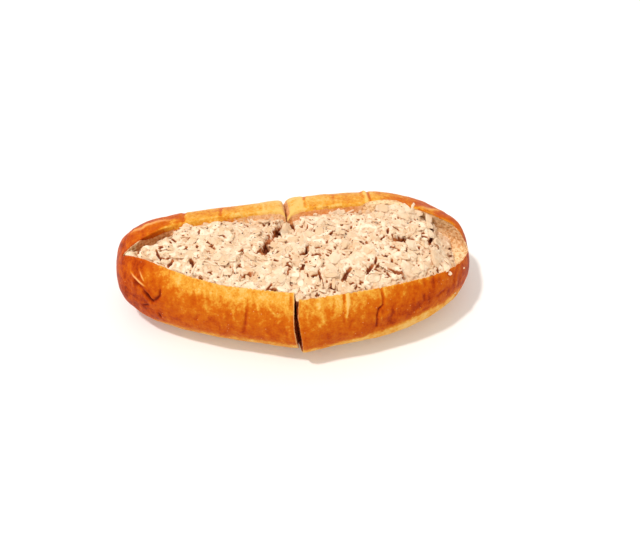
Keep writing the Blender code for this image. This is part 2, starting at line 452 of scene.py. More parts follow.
# %% Small wrinkles
WRINKLES = 34
WRINKLE_PLACES, WRINKLE_HEIGHTS = (-120, 120), (34, 56)
WRINKLE_LEAN, WRINKLE_LENGTHS = 1.2, (3, 10)
WRINKLE_DEPTHS, WRINKLE_WIDTHS, WRINKLE_SHADINGS = (0.15, 0.35), (0.7, 1.4), (0.1, 0.3)
LINE_ENDS = 0.06


def random_wrinkles(random):
    """Short upright wrinkles below the rims."""
    wrinkles = []
    for _ in range(WRINKLES):
        x, z = random.uniform(*WRINKLE_PLACES), random.uniform(*WRINKLE_HEIGHTS)
        lean, length = random.normal(0, WRINKLE_LEAN), random.uniform(*WRINKLE_LENGTHS)
        raised = random.choice((-1, 1))
        depth, width = raised * random.uniform(*WRINKLE_DEPTHS), random.uniform(*WRINKLE_WIDTHS)
        path = ((x, z), (x + lean, z - length))
        wrinkles.append(Line(path, depth, width, raised * random.uniform(*WRINKLE_SHADINGS)))
    return wrinkles


print("each half has", 2 * WRINKLES, "small wrinkles")


# %% Distances from a path
def distance_to(path, places):
    """The distance of each place from a path, and how far along the path its nearest point is."""
    corners = np.array(path, float)
    lengths = np.linalg.norm(np.diff(corners, axis=0), axis=1)
    nearest = np.full(len(places), np.inf)
    along = np.zeros(len(places))
    done = 0.0
    for start, end, length in zip(corners, corners[1:], lengths):
        share = np.clip((places - start) @ (end - start) / length**2, 0, 1)
        away = np.linalg.norm(places - start - share[:, None] * (end - start), axis=1)
        closer = away < nearest
        nearest[closer] = away[closer]
        along[closer] = (done + share[closer] * length) / lengths.sum()
        done += length
    return nearest, along


def tapered(along, end):
    """A share that falls off towards both ends of a path, where it is smallest but not 0."""
    return np.sqrt(np.clip(np.sin(np.pi * (end + (1 - 2 * end) * along)), 0, 1))


def bell(distance, width):
    return np.exp(-((distance / width) ** 2))


print("a line's end is", round(float(tapered(0.0, LINE_ENDS)), 2), "as deep as its middle")

# %% [markdown]
# ## Where the roll is crust and where it is crumb
#
# The outside of a loaf is baked, and what a knife or a tear opened is pale and full of holes.
# Which is which follows from the way the skin faces: the crust faces away from the middle of
# the roll, and the opened inside faces towards it. The face of the cross cut looks along the
# roll. Two places break the rule. At the left end the crust rolled in over the back rim, so
# it also covers the inside above a line. At the right the crust peeled off the back rim, so
# crumb shows on top of it. Both are lines that `np.interp` draws through a few points.

# %% Where the crust ends
STATIONS = 24
STATION_REACH = 4 * MM
MIDDLE_HEIGHT = 30 * MM
MIDDLE_REACH = 88 * MM
RIM_HEIGHTS = np.array((42, 52)) * MM
INWARD_FROM = (-0.45, -0.10)
INWARD_BLEND = 0.25
ROLLED_IN_PLACES = np.array((-110, -105, -100, -93, -88, -81, -76, -70)) * MM
ROLLED_IN_TO = np.array((62, 58.8, 58, 59.4, 61.2, 64, 66, 70)) * MM
PEELED_PLACES = np.array((40, 46, 56, 66, 76, 80, 88, 92)) * MM
PEELED_TO = np.array((-100, 26, 31, 33.5, 33.5, 31, 22, -100)) * MM
EDGE_BLEND = 0.8 * MM
CUT_AT = -4 * MM
CUT_SLOPE = -0.029
CUT_REACH = 6 * MM
FACES_ALONG = (0.6, 0.8)
print("the crust peeled off the back between", PEELED_PLACES[1], "and", PEELED_PLACES[-2], "m")


# %% Crumb and crust
def middle_line(piece):
    """A gentle curve through the middle of the roll's width, as y for a given x."""
    places = read(piece)
    stations = np.linspace(places[:, 0].min(), places[:, 0].max(), STATIONS)[2:-2]
    near = [places[np.abs(places[:, 0] - x) < STATION_REACH, 1] for x in stations]
    middles = [(band.min() + band.max()) / 2 for band in near]
    return np.polynomial.Polynomial.fit(stations, middles, 3)


def from_cut(x, y):
    """How far a place lies to the right of the cross cut, which runs a little askew."""
    return x - CUT_AT - CUT_SLOPE * y


def crumb_share(places, facing, middle):
    """1 where the skin is crumb and 0 where it is crust, and 1 where it is the cross cut."""
    x, y, z = places.T
    nearest = np.clip(x, -MIDDLE_REACH, MIDDLE_REACH)
    core = np.column_stack([nearest, middle(nearest), np.full(len(x), MIDDLE_HEIGHT)])
    outward = places - core
    outward /= np.maximum(np.linalg.norm(outward, axis=1), MM)[:, None]
    threshold = np.interp(z, RIM_HEIGHTS, INWARD_FROM)
    inside = soft_step(-(facing * outward).sum(axis=1) - threshold, 0.0, INWARD_BLEND)
    behind = y > middle(nearest)
    rolled_in = z - np.interp(x, ROLLED_IN_PLACES, ROLLED_IN_TO)
    inside *= 1 - soft_step(rolled_in, -EDGE_BLEND, EDGE_BLEND) * behind
    peeled = np.interp(x, PEELED_PLACES, PEELED_TO) - y
    inside = np.maximum(inside, soft_step(peeled, -EDGE_BLEND, EDGE_BLEND) * behind)
    on_cut = soft_step(np.abs(facing[:, 0]), *FACES_ALONG) * (np.abs(from_cut(x, y)) < CUT_REACH)
    return np.maximum(inside, on_cut), on_cut


print("the cut crosses the middle at", CUT_AT, "m")

# %% [markdown]
# ## How dark the crust is baked
#
# The dough near the split stays pale gold, because it opened late in the oven. Lower on the
# side it turns orange and then brown, the tips are darkest, and the strip that stood on the
# baking tin is pale again. These are smooth functions of height and of the place along the
# roll. The material adds the fine mottling.

# %% Baking
SIDE_HEIGHTS = np.array((0, 6, 14, 24, 34, 42, 48, 53, 60)) * MM
SIDE_BAKE = (0.28, 0.38, 0.48, 0.49, 0.47, 0.40, 0.28, 0.17, 0.11)
FRONT_PLACES = np.array((-50, 0, 30, 52, 62, 100, 115, 128)) * MM
FRONT_BAKE = (0.02, 0.02, 0.02, 0.08, 0.19, 0.21, 0.25, 0.31)
TIP_PLACES = np.array((-126, -108, -96, -80)) * MM
TIP_SHARE = (0.90, 0.80, 0.40, 0.0)
TIP_BAKE = 0.80
BACK_PLACES = np.array((-128, -112, -98, -80, -77, -45, -10, 8, 10, 53, 56, 84, 104, 128)) * MM
BACK_BAKE = (0.80, 0.72, 0.54, 0.50, 0.20, 0.24, 0.05, 0.03, 0.16, 0.20, 0.14, 0.36, 0.60, 0.72)
TIN_PLACES = np.array((-128, -90, 0, 25, 45, 63, 92, 110, 128)) * MM
TIN_PALENESS = (0.0, 0.60, 0.65, 0.70, 0.85, 0.85, 0.85, 0.75, 0.40)
TIN_HEIGHTS = np.array((20, 22, 23, 23, 25, 28, 32, 31, 27)) * MM
TIN_BLEND = 7 * MM
# Brown on the torn back wall: partly crust curled in under the rim, partly painted warm shade.
WALL_PLACES = np.array((-128, -108, -84, -76, -46, -8, -4, 6, 46, 54, 84, 96, 112, 128)) * MM
WALL_TOAST_AND_SHADE = (0.85, 0.60, 0.50, 0.45, 0.45, 0.45, 0.60, 0.75, 0.75, 0.20, 0.15, 0.30, 0.25, 0.30)
BACK_RIM_FROM_MIDDLE = (8 * MM, 16 * MM)
BACK_RIM_HEIGHTS = (40 * MM, 56 * MM)


def baked(places, middle):
    """0 for pale gold and 1 for the darkest brown."""
    x, y, z = places.T
    side = np.interp(z, SIDE_HEIGHTS, SIDE_BAKE) + np.interp(x, FRONT_PLACES, FRONT_BAKE)
    tip = np.interp(x, TIP_PLACES, TIP_SHARE)
    side = side * (1 - tip) + TIP_BAKE * tip
    tin_height = np.interp(x, TIN_PLACES, TIN_HEIGHTS)
    on_tin = 1 - soft_step(z, tin_height - TIN_BLEND, tin_height)
    side *= 1 - np.interp(x, TIN_PLACES, TIN_PALENESS) * on_tin
    top = np.interp(x, BACK_PLACES, BACK_BAKE)
    from_middle = soft_step(y - middle(x), *BACK_RIM_FROM_MIDDLE)
    on_back_rim = from_middle * soft_step(z, *BACK_RIM_HEIGHTS)
    return side * (1 - on_back_rim) + top * on_back_rim


print("the tips are baked", TIP_BAKE, "and the rims", SIDE_BAKE[-1])

# %% [markdown]
# ## Pushing the bread into shape
#
# The solids are even, and real bread is not. A swelling moves every vertex near a place by a
# bell curve, as a soft brush does in sculpting. The torn inside of the back wall leans back
# a little in real bread, so that light from above reaches it. That is a shift that grows
# with the depth below the rim.

# %% Swellings
SWELLS = {
    # the place, how far the swelling reaches and where it moves the crust, in millimetres
    "left": (((-118, 15, 50), 16, (-0.2, 0.7, 0.3)),),
    "right": (
        ((68, 40, 60), 26, (0, 1.0, 1.0)),
        ((103, 36, 53), 10, (0, -1.4, -1.0)),
        ((119, 22, 46), 10, (1.7, 1.0, 1.0)),
        ((2, -62, 16), 16, (0.8, -1.8, -0.6)),
    ),
}


def swell(piece, half):
    places = read(piece)
    for centre, reach, move in SWELLS[half]:
        away = np.linalg.norm(places - np.array(centre) * MM, axis=1)
        places += np.outer(bell(away, reach * MM), move) * MM
    write(piece, places)


print("swellings:", {half: len(swells) for half, swells in SWELLS.items()})

# %% The back wall
LEAN = 0.8
LEAN_TOP = 66 * MM
LEAN_REACH = 9 * MM
LEAN_HEIGHTS = (40 * MM, 50 * MM)
LEAN_PLACES = np.array((-92, -80, 58, 68)) * MM
LEAN_SHARE = (0, 1, 1, 0)
LEAN_FACING = (0.1, 0.5)


def lean_the_wall(piece, middle):
    """Slopes the torn inside of the back wall, so that it faces up and catches the light."""
    places, facing = read(piece), read(piece, "normal")
    x, y, z = places.T
    inner = soft_step(-facing[:, 1], *LEAN_FACING) * (y > middle(x)) * soft_step(z, *LEAN_HEIGHTS)
    down = np.clip(LEAN_TOP - z, 0, LEAN_REACH)
    places[:, 1] -= LEAN * down * inner * np.interp(x, LEAN_PLACES, LEAN_SHARE)
    write(piece, places)


print("the wall leans by up to", round(LEAN * LEAN_REACH / MM, 1), "mm")

# %% [markdown]
# ## The cross cut
#
# A knife parts the crust more than the soft crumb behind it. So the rim of each cut face is
# pulled back from the other half at the front, where the crust sprang open, and the middle
# is closed up. A superellipse round the roll's section tells the rim from the middle. The
# cut also bows, because the knife didn't go straight down. The vertices right beside it
# are the lips, which the material paints pale.

# %% Opening the cut
CUT_HEIGHTS = np.array((0, 5, 10, 15, 22, 30, 36, 45, 57)) * MM
CUT_PULLED = np.array((-1.2, -1.1, -0.9, -0.4, 0.2, 0.5, 0.4, -0.2, -0.2)) * MM
CUT_BOWED = np.array((1.6, 1.8, 1.9, 1.6, 1.0, 0.2, -0.5, -1.1, 0.0)) * MM
CUT_PULL_REACH = 3.5 * MM
CUT_BOW_REACH = 9 * MM
CUT_FRONT = (15 * MM, 45 * MM)
CUT_SECTION = (62 * MM, 26 * MM, 41 * MM, 27 * MM)
CUT_ROUND_ACROSS, CUT_ROUND_UP, CUT_ROUND = 2.6, 2.4, 0.4
CUT_RIM, CUT_RIM_BLEND = 0.90, 0.04
HALF_GAP_BACK, HALF_GAP_FRONT = 0.3 * MM, 1.25 * MM
HALF_GAP_PLACES = (-45 * MM, 65 * MM)
LIP_REACH = 0.8 * MM


def on_rim(y, z, middle_y):
    """1 on the outermost part of the roll's section and 0 inside."""
    half_width, level, above, below = CUT_SECTION
    across = np.abs(y - middle_y) / half_width
    up = np.where(z > level, (z - level) / above, (level - z) / below)
    out = (across**CUT_ROUND_ACROSS + up**CUT_ROUND_UP) ** CUT_ROUND
    return soft_step(out, CUT_RIM - CUT_RIM_BLEND, CUT_RIM + CUT_RIM_BLEND)


def pull_back_the_cut(piece, side, middle):
    """Opens the crust at the front of the cut, bows it, and closes the crumb behind it.

    Returns how near each vertex is to the crust's lips beside the cut.
    """
    places = read(piece)
    x, y, z = places.T
    rim = on_rim(y, z, middle(x))
    front = soft_step(-y, *CUT_FRONT)
    closed = HALF_GAP_BACK + (HALF_GAP_FRONT - HALF_GAP_BACK) * soft_step(-y, *HALF_GAP_PLACES)
    pulled = np.interp(z, CUT_HEIGHTS, CUT_PULLED) * rim * front - closed * (1 - rim)
    away = from_cut(x, y)
    bowed = np.interp(z, CUT_HEIGHTS, CUT_BOWED) * front * bell(away, CUT_BOW_REACH)
    lips = bell(side * away - closed, LIP_REACH) * rim * front
    places[:, 0] += side * bell(away, CUT_PULL_REACH) * pulled + bowed
    write(piece, places)
    return lips


print("the crust parts by up to", round(2 * float(CUT_PULLED.max()) / MM, 1), "mm at the cut")

# %% [markdown]
# ## The two halves of the roll
#
# Each half goes through the steps above in one order: the net of small faces first, then the
# large moves, then relief from textures, then the creases. What the material needs to know
# about a place, such as how baked it is, is painted on the vertices last, because thinning
# the mesh out would blur it.

# %% Sinking the creases
CREASE_FACING = 0.3
SWOLLEN_BESIDE = 0.3
SHADING_NARROWER = 0.8


def relief_on_crust(piece, half, crumb, random):
    """Sinks a half's creases; returns painted shade in creases and painted highlight on ridges."""
    places, facing = read(piece), read(piece, "normal")
    from_the_side = np.delete(places, 1, axis=1) / MM
    front = (facing[:, 1] < CREASE_FACING) & (crumb < 0.5) & (places[:, 1] < 0)
    back = (facing[:, 1] > -CREASE_FACING) & (crumb < 0.5) & (places[:, 1] > 0)
    dark = np.zeros(len(places))
    sunk = np.zeros(len(places))
    for seen, placed in ((front, FRONT_LINES[half]), (back, BACK_LINES[half])):
        for line in (*placed, *random_wrinkles(random)):
            away, along = distance_to(line.path, from_the_side)
            taper = seen * tapered(along, LINE_ENDS)
            swelling = SWOLLEN_BESIDE * bell(away - 2 * line.width, line.width)
            sunk += line.depth * taper * (bell(away, line.width) - swelling)
            # Painted shade along a crease, and painted highlight along a ridge, where it is below
            # 0.
            dark += line.dark * taper * bell(away, line.width * SHADING_NARROWER)
    write(piece, places - facing * (sunk * MM)[:, None])
    return dark


print("beside a crease the skin swells by", SWOLLEN_BESIDE, "of its depth")

# %% Making the halves of the roll
ROLL_VOXEL = 0.62 * MM
ROLL_SHARP = math.radians(42)
ROUNDINGS = 2
SMOOTHING, SMOOTHINGS = 0.5, 5
RELIEF = (
    # pattern, size, height, side, and the level of the pattern that stays in place
    ("CLOUDS", 34 * MM, 1.6 * MM, "baked side", 0.5),
    ("CLOUDS", 11 * MM, 0.8 * MM, "baked side", 0.5),
    ("CLOUDS", 3.5 * MM, 0.2 * MM, "baked side", 0.5),
    ("CLOUDS", 7 * MM, 1.6 * MM, "torn side", 0.5),
    ("VORONOI", 2.6 * MM, 1.0 * MM, "torn side", 0.6),
)
TORN_FROM, BAKED_TO = 0.99, 0.5
CUT_SHADE_FRONT = (10 * MM, 35 * MM)
HOLLOW_ROUNDS = 5
MOST_TRIANGLES = 190000


def make_roll(half, seed):
    random = np.random.default_rng(seed)
    piece = skin_copy(f"roll_{half}", f"bread_{half}", ROLL_SHARP, ROUNDINGS)
    middle = middle_line(piece)
    apply_modifier(piece, "REMESH", mode="VOXEL", voxel_size=ROLL_VOXEL)
    apply_modifier(piece, "SMOOTH", factor=SMOOTHING, iterations=SMOOTHINGS)
    swell(piece, half)
    lean_the_wall(piece, middle)
    lips = pull_back_the_cut(piece, -1 if half == "left" else 1, middle)
    crumb, on_cut = crumb_share(read(piece), read(piece, "normal"), middle)
    group_of(piece, "torn side", crumb > TORN_FROM)
    group_of(piece, "baked side", crumb <= BAKED_TO)
    for relief in RELIEF:
        displace(piece, *relief)
    dark = relief_on_crust(piece, half, crumb, random)
    paint(piece, "crumb", crumb)
    # The cut face at the front, where the cut stands open, is painted dark as shade.
    paint(piece, "cross_cut", on_cut * soft_step(-read(piece)[:, 1], *CUT_SHADE_FRONT))
    paint(piece, "lip", lips * (1 - on_cut))
    # Painted shade in creases and painted highlight on ridges, for the material.
    paint(piece, "dark", dark)
    thin_out(piece, MOST_TRIANGLES)
    places = read(piece)
    places[:, 2] = np.maximum(places[:, 2], 0)
    write(piece, places)
    x, y, _ = places.T
    paint(piece, "bake", baked(places, middle))
    paint(piece, "hollow", hollows(piece, HOLLOW_ROUNDS))
    # Partly curled-in crust and partly painted warm shade on the back wall.
    paint(piece, "toast", np.interp(x, WALL_PLACES, WALL_TOAST_AND_SHADE) * (y > middle(x)))
    return piece


breads = {half: make_roll(half, seed) for seed, half in enumerate(HALVES, 1)}

# %% [markdown]
# ## The finish of crust and crumb
#
# A colour ramp turns the baking into colour, from pale gold to dark brown, as an oven does.
# Noise of several sizes is added first, since real crust is mottled and streaked. The hollows
# that were measured on the mesh and the creases are darkened as painted shade, and ridges are
# lightened as a painted highlight. Crumb has its own colours, with pores, more of them in
# hollows as painted shade, and a brown tint on the back wall that is partly crust curled in
# under the rim and partly painted warm shade. The cut face that shows in the open cut is
# painted dark as shade. Two masks with ragged edges then lay crumb and lips over crust. Crust is
# hardly glossy, so it has a low specular level, and Bump adds the finest grain.

# %% The crust's colours
BAKED_COLOURS = {
    0.00: shade(232, 186, 104),
    0.15: shade(224, 158, 54),
    0.35: shade(204, 105, 13),
    0.55: shade(192, 84, 6),
    0.75: shade(172, 62, 4),
    1.00: shade(126, 34, 4),
}
# On the next line the second colour is a painted highlight on ridges and the third painted shade in
# creases.
PALE_SPECK, RIDGE_HIGHLIGHT, CREASE_SHADE = shade(246, 200, 140), shade(238, 176, 110), shade(96, 24, 4)
# The third colour on the next line is curled-in crust together with painted warm shade.
PORE, CRUMB, TOASTED_AND_SHADED = shade(216, 166, 110), shade(246, 214, 168), shade(216, 122, 44)
# The first colour on the next line is painted shade on the cut face inside the open cut.
CUT_FACE_SHADE, LIP = shade(160, 70, 28), shade(238, 180, 116)
print("stops of the baked ramp:", sorted(BAKED_COLOURS))

# %% Where each colour starts and is full
PALE_SPECK_LEVELS = (0.10, 0.04)
RIDGE_LEVELS, CREASE_LEVELS = (-0.30, -0.75), (0.45, 0.95)
PORE_LEVELS, TOAST_AND_SHADE_LEVELS = (0.34, 0.52), (0.10, 0.85)
CUT_SHADE_LEVELS, CRUMB_LEVELS, LIP_LEVELS = (0.6, 1.0), (0.60, 0.80), (0.35, 0.75)
PALE_SPECK_MOST, TOAST_AND_SHADE_MOST, LIP_MOST = 0.5, 0.85, 0.9
# How strongly painted shade from creases and hollows darkens crust and crumb.
PAINTED_SHADING_SHARE, HOLLOW_SHADE_SHARE, HOLLOW_SHADE_IN_CRUMB = 0.5, 0.35, 0.5
STREAK_SQUEEZE, WRINKLE_SQUEEZE = (1.0, 0.6, 0.35), (1.0, 0.6, 0.3)
WRINKLE_BUMP, PORE_BUMP = 1.5, 1.5
print("crumb is full from", CRUMB_LEVELS[1])

# %% The crust's finish
crust = Finish("crust and crumb", Roughness=0.42, Specular_IOR_Level=0.04)
painted_bake, hollow, dark = (crust.painted(name) for name in ("bake", "hollow", "dark"))
streaks = crust.uneven(5 * MM, 0.36, 4.0, 0.6, STREAK_SQUEEZE)
clouds = crust.uneven(11 * MM, 0.70, 6.0, 0.72)
specks = crust.uneven(1.6 * MM, 0.50, 3.0, 0.7)
mottles = crust.uneven(6 * MM, 1.5, 3.0, 0.6) * painted_bake
bake = painted_bake + streaks + clouds + specks + mottles
# Painted shade: creases and measured hollows darken the crust, and ridges lighten it as a painted
# highlight.
bake = bake + dark * PAINTED_SHADING_SHARE + hollow * HOLLOW_SHADE_SHARE
crust_colour = crust.ramp(bake, BAKED_COLOURS)
# Small pale specks, scattered in cells over the crust.
pale_specks = crust.step(crust.cells(4.5 * MM), *PALE_SPECK_LEVELS) * PALE_SPECK_MOST
crust_colour = crust.mix(pale_specks, crust_colour, PALE_SPECK)
# Painted highlight on ridges, then painted shade in creases.
crust_colour = crust.mix(crust.step(dark, *RIDGE_LEVELS), crust_colour, RIDGE_HIGHLIGHT)
crust_colour = crust.mix(crust.step(dark, *CREASE_LEVELS), crust_colour, CREASE_SHADE)
print("crust colour is a sum of", len(crust.tree.nodes), "nodes so far")

# %% The crumb's finish
# More pore colour in hollows, as painted shade in the crumb.
pores = crust.noise(1.4 * MM, 3.0, 0.65) - hollow * HOLLOW_SHADE_IN_CRUMB
is_flesh = crust.step(pores, *PORE_LEVELS)
# Brown of curled-in crust and of painted warm shade on the back wall.
toast = crust.painted("toast") + crust.uneven(3 * MM, 0.6, 3.0, 0.6)
is_toast_and_shade = crust.step(toast, *TOAST_AND_SHADE_LEVELS) * TOAST_AND_SHADE_MOST
is_shaded_cut = crust.step(crust.painted("cross_cut"), *CUT_SHADE_LEVELS)
is_crumb = crust.step(crust.painted("crumb") + crust.uneven(2.2 * MM, 0.6), *CRUMB_LEVELS)
is_lip = crust.step(crust.painted("lip") + crust.uneven(1.5 * MM, 0.4), *LIP_LEVELS) * LIP_MOST
crumb_colour = crust.mix(is_toast_and_shade, crust.mix(is_flesh, PORE, CRUMB), TOASTED_AND_SHADED)
# Painted shade on the cut face inside the open cut.
crumb_colour = crust.mix(is_shaded_cut, crumb_colour, CUT_FACE_SHADE)
bread_colour = crust.mix(is_crumb, crust_colour, crumb_colour)
crust.paint("Base Color", crust.mix(is_lip, bread_colour, LIP))
wrinkled = crust.noise(3 * MM, 4.0, 0.6, WRINKLE_SQUEEZE) * WRINKLE_BUMP
grain = crust.noise(0.8 * MM, 3.0) + wrinkled + is_flesh * is_crumb * PORE_BUMP
crust.bump(grain, 0.35 * MM, 0.6)
for bread in breads.values():
    bread.data.materials.append(crust.material)
print("crust finish on", [bread.name for bread in breads.values()])

# %% [markdown]
# ## Flakes of tuna
#
# Tuna salad is a heap of flakes that mayonnaise glues together. Each flake starts as a cube
# that is cut into smaller faces, flattened, and shaken vertex by vertex until it looks torn.
# A handful of shapes is enough, because every copy gets its own size, turn and tilt.

# %% Flake shapes
Shape = namedtuple("Shape", "places faces")
FLAKE_SMOOTHNESS, FLAKE_ROUNDED = 0.5, 0.3


def shape_of(piece):
    """The places and faces of a small object, which is then deleted."""
    shape = Shape(read(piece), [tuple(face.vertices) for face in piece.data.polygons])
    bpy.data.objects.remove(piece)
    return shape


def torn_flake(seed, cuts, size, tear):
    bpy.ops.object.select_all(action="DESELECT")
    bpy.ops.mesh.primitive_cube_add(size=1)
    bpy.ops.object.mode_set(mode="EDIT")
    bpy.ops.mesh.subdivide(number_cuts=cuts, smoothness=FLAKE_SMOOTHNESS)
    bpy.ops.transform.vertex_random(offset=tear, uniform=1.0, seed=seed)
    bpy.ops.mesh.vertices_smooth(factor=FLAKE_ROUNDED, repeat=1)
    bpy.ops.transform.resize(value=size)
    bpy.ops.object.mode_set(mode="OBJECT")
    return shape_of(bpy.context.object)


PLATES = [torn_flake(seed, 3, (1.0, 0.62, 0.17), 0.16) for seed in range(5)]
CHIPS = [torn_flake(seed, 2, (1.0, 0.70, 0.36), 0.20) for seed in range(5, 9)]
SHREDS = [torn_flake(seed, 2, (1.0, 0.22, 0.15), 0.14) for seed in range(9, 13)]
print("a plate has", len(PLATES[0].faces), "faces")

# %% [markdown]
# ## Finding the top of the heap
#
# A ray dropped from above finds the top of a heap at any place, and a tree of its faces
# makes thousands of such rays quick. The real heap isn't quite as high everywhere as the
# solid: it dips at both ends and along the back on the left, where bread shows above it,
# and rises at the back on the right. A dip is a bell curve with its own reach along and
# across the roll. A steepness above 2 gives it a flat floor and steep sides, and a negative
# depth makes it a hump.

# %% Dips
Dip = namedtuple("Dip", "x y reach_x reach_y depth steepness")
DIPS = (
    Dip(-110, 5, 6, 6, 6.0, 2),
    Dip(-103, 6, 9, 7, 8.0, 4),
    Dip(-93, 11, 8, 7, 6.0, 2),
    Dip(116, 8, 15, 30, 6.5, 12),
    Dip(-50, 27, 40, 6, 2.0, 2),
    Dip(76, 25, 16, 7, -4.5, 4),
)


def dipped(x, y):
    """How far the heap is lower at a place than its solid, in metres."""
    total = 0.0
    for dip in DIPS:
        along, across = (x / MM - dip.x) / dip.reach_x, (y / MM - dip.y) / dip.reach_y
        total += dip.depth * np.exp(-np.abs(along) ** dip.steepness - across**2)
    return total * MM


print("deepest dip:", max(dip.depth for dip in DIPS), "mm")

# %% Heaps
RAY_HEIGHT = 0.2
INSIDE_AT = -6 * MM
FACES_UP = 0.3


class Surface:
    """The skin of a piece, for things that lie on it or cling to it."""

    def __init__(self, piece):
        places = [vertex.co for vertex in piece.data.vertices]
        faces = [tuple(face.vertices) for face in piece.data.polygons]
        self.tree = BVHTree.FromPolygons(places, faces)

    def above(self, x, y):
        """The place and the facing of the highest skin at x, y."""
        return self.tree.ray_cast(Vector((x, y, RAY_HEIGHT)), Vector((0, 0, -1)))[:2]

    def behind(self, x, z):
        """The place and the facing of the first skin behind the middle of the roll."""
        return self.tree.ray_cast(Vector((x, INSIDE_AT, z)), Vector((0, 1, 0)))[:2]


class Heap(Surface):
    """The uneven top of one half's filling."""

    def __init__(self, half):
        node = frame["nodes"][f"filling_{half}"]
        super().__init__(node)
        self.low, self.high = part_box(node.name)

    def solid_top(self, x, y):
        """The place and the facing of the solid's top above x, y, or None beside the heap."""
        place, facing = self.above(x, y)
        return (place, facing) if place is not None and facing.z > FACES_UP else None

    def top(self, x, y):
        """The same with the dips."""
        hit = self.solid_top(x, y)
        if not hit:
            return None
        place, facing = hit
        low = dipped(x, y)
        slope = Vector((dipped(x + MM, y) - low, dipped(x, y + MM) - low, 0)) / MM
        return place - Vector((0, 0, low)), (facing / facing.z + slope).normalized()

    def random_tops(self, count, random):
        found = []
        while len(found) < count:
            x = random.uniform(self.low.x, self.high.x)
            y = random.uniform(self.low.y, self.high.y)
            hit = self.top(x, y)
            if hit:
                found.append(hit)
        return found


heaps = {half: Heap(half) for half in HALVES}
print("heap tops reach", [round(heap.high.z / MM, 1) for heap in heaps.values()], "mm")

# %% [markdown]
# ## Scattering on the heap
#
# A flake lies flat on the heap, tilted a little at random. Near the rim a long flake would
# reach over the bread, so it is tried at smaller sizes, and left out if none fits. Hundreds
# of copies become one mesh straight from arrays, which is far quicker than joining objects.

# %% Scattering
Copy = namedtuple("Copy", "shape turn scale place")
POINT_AT = 128 * MM
POINT_REACH = 24 * MM
LEAST_NARROWED = 0.25


def points_of(copy):
    """Where a copy's vertices are."""
    return copy.shape.places * np.array(copy.scale) @ np.array(copy.turn).T + np.array(copy.place)


def turned(facing, tilt, random):
    """A turn that lays a flake on a surface, spun at random and tilted by about that angle."""
    lean = Vector((*random.normal(0, tilt, 2), 0))
    upright = (facing + lean).normalized().to_track_quat("Z", "X").to_matrix()
    return upright @ Matrix.Rotation(random.uniform(0, 2 * math.pi), 3, "Z")


def narrowed(place):
    """The share of its length that a flake keeps at a place, because the heap ends in points."""
    return float(np.clip((POINT_AT - abs(place.x)) / POINT_REACH, LEAST_NARROWED, 1))


def overhang(points):
    """The share of a flake's points that lie beside both halves of the heap."""
    beside = [all(heap.solid_top(x, y) is None for heap in heaps.values()) for x, y, _ in points]
    return sum(beside) / len(points)


def fitted(shape, turn, stretch, place, sizes, most_beside):
    """A copy at the first size that keeps it on the heap, in a list that is empty if none does."""
    for size in sizes:
        copy = Copy(shape, turn, stretch * size, place)
        if overhang(points_of(copy)) < most_beside:
            return [copy]
    return []


def scattered(name, copies):
    """One mesh object of many copies."""
    places, faces, count = [], [], 0
    for copy in copies:
        places.append(points_of(copy))
        faces += [tuple(i + count for i in face) for face in copy.shape.faces]
        count += len(copy.shape.places)
    mesh = bpy.data.meshes.new(name)
    mesh.from_pydata(np.vstack(places).tolist(), [], faces)
    piece = bpy.data.objects.new(name, mesh)
    bpy.context.collection.objects.link(piece)
    return piece


print("flakes get narrower from", (POINT_AT - POINT_REACH) / MM, "mm outwards")

# %% [markdown]
# ## Gaps between the flakes
#
# The heap has a few deep gaps, where the knife and the spoon pulled the flakes apart, and
# very many small ones. A gap is a short path seen from above, in millimetres, with its width
# and its depth. The deep ones are listed, and the small ones placed at random.

# %% Deep gaps
Gap = namedtuple("Gap", "path width depth")
DEEP_GAPS = {
    "left": (
        Gap(((-14, 4), (-10, 10), (-7, 17)), 2.2, 6.0),
        Gap(((-22, -13), (-19, -5), (-17.5, 0)), 2.8, 6.0),
        Gap(((-17, -22), (-13.5, -24)), 1.0, 2.5),
        Gap(((-7, -32), (-5, -41)), 0.9, 3.0),
        Gap(((-38, -33), (-32, -31)), 1.6, 1.8),
        Gap(((-73.5, -16), (-70.5, -23)), 1.0, 3.0),
        Gap(((-89, -19), (-85.5, -17)), 1.0, 2.2),
        Gap(((-96.5, -8), (-95, -13)), 0.7, 2.0),
        Gap(((-94.5, -7), (-92, -5)), 1.2, 2.2),
        Gap(((-78, -11), (-75.5, -6.5)), 0.9, 2.5),
        Gap(((-70.5, -4), (-68, 2), (-66.5, 9)), 0.7, 2.0),
    ),
    "right": (
        Gap(((-2, 23), (-1, 16), (0, 10)), 1.3, 4.5),
        Gap(((3, -16), (7, -15), (9, -8)), 1.2, 3.5),
        Gap(((11, -19), (16, -18)), 1.2, 3.5),
        Gap(((2, -30), (6, -23.5)), 1.2, 3.0),
        Gap(((14, -32), (16, -42)), 0.8, 2.5),
        Gap(((30.5, -38), (36, -30)), 1.4, 4.0),
        Gap(((47, -35), (49, -31), (51.5, -27.5)), 1.3, 3.5),
        Gap(((45, -6), (48, -11.5)), 0.8, 2.5),
        Gap(((60.5, -20.5), (64.5, -18)), 1.1, 3.0),
        Gap(((67, -11), (71.5, -15)), 0.9, 2.5),
        Gap(((71, -4), (76, -4.5), (81, -5)), 2.8, 7.0),
        Gap(((82, -17.5), (85.5, -17.5)), 1.0, 3.0),
        Gap(((88.5, -17), (90.5, -17.5)), 0.9, 2.5),
        Gap(((62, -32), (68, -34), (73, -35)), 1.0, 1.6),
        Gap(((100, 20), (99, 10), (95, -5)), 1.2, 4.0),
    ),
}
print("deep gaps:", {half: len(gaps) for half, gaps in DEEP_GAPS.items()})

# %% Patches of mayonnaise
CREAMY_SIZE = 17
CREAMY_SEED = 6
CREAMY_LEVELS = (-0.3, 0.4)
WAVES = 16


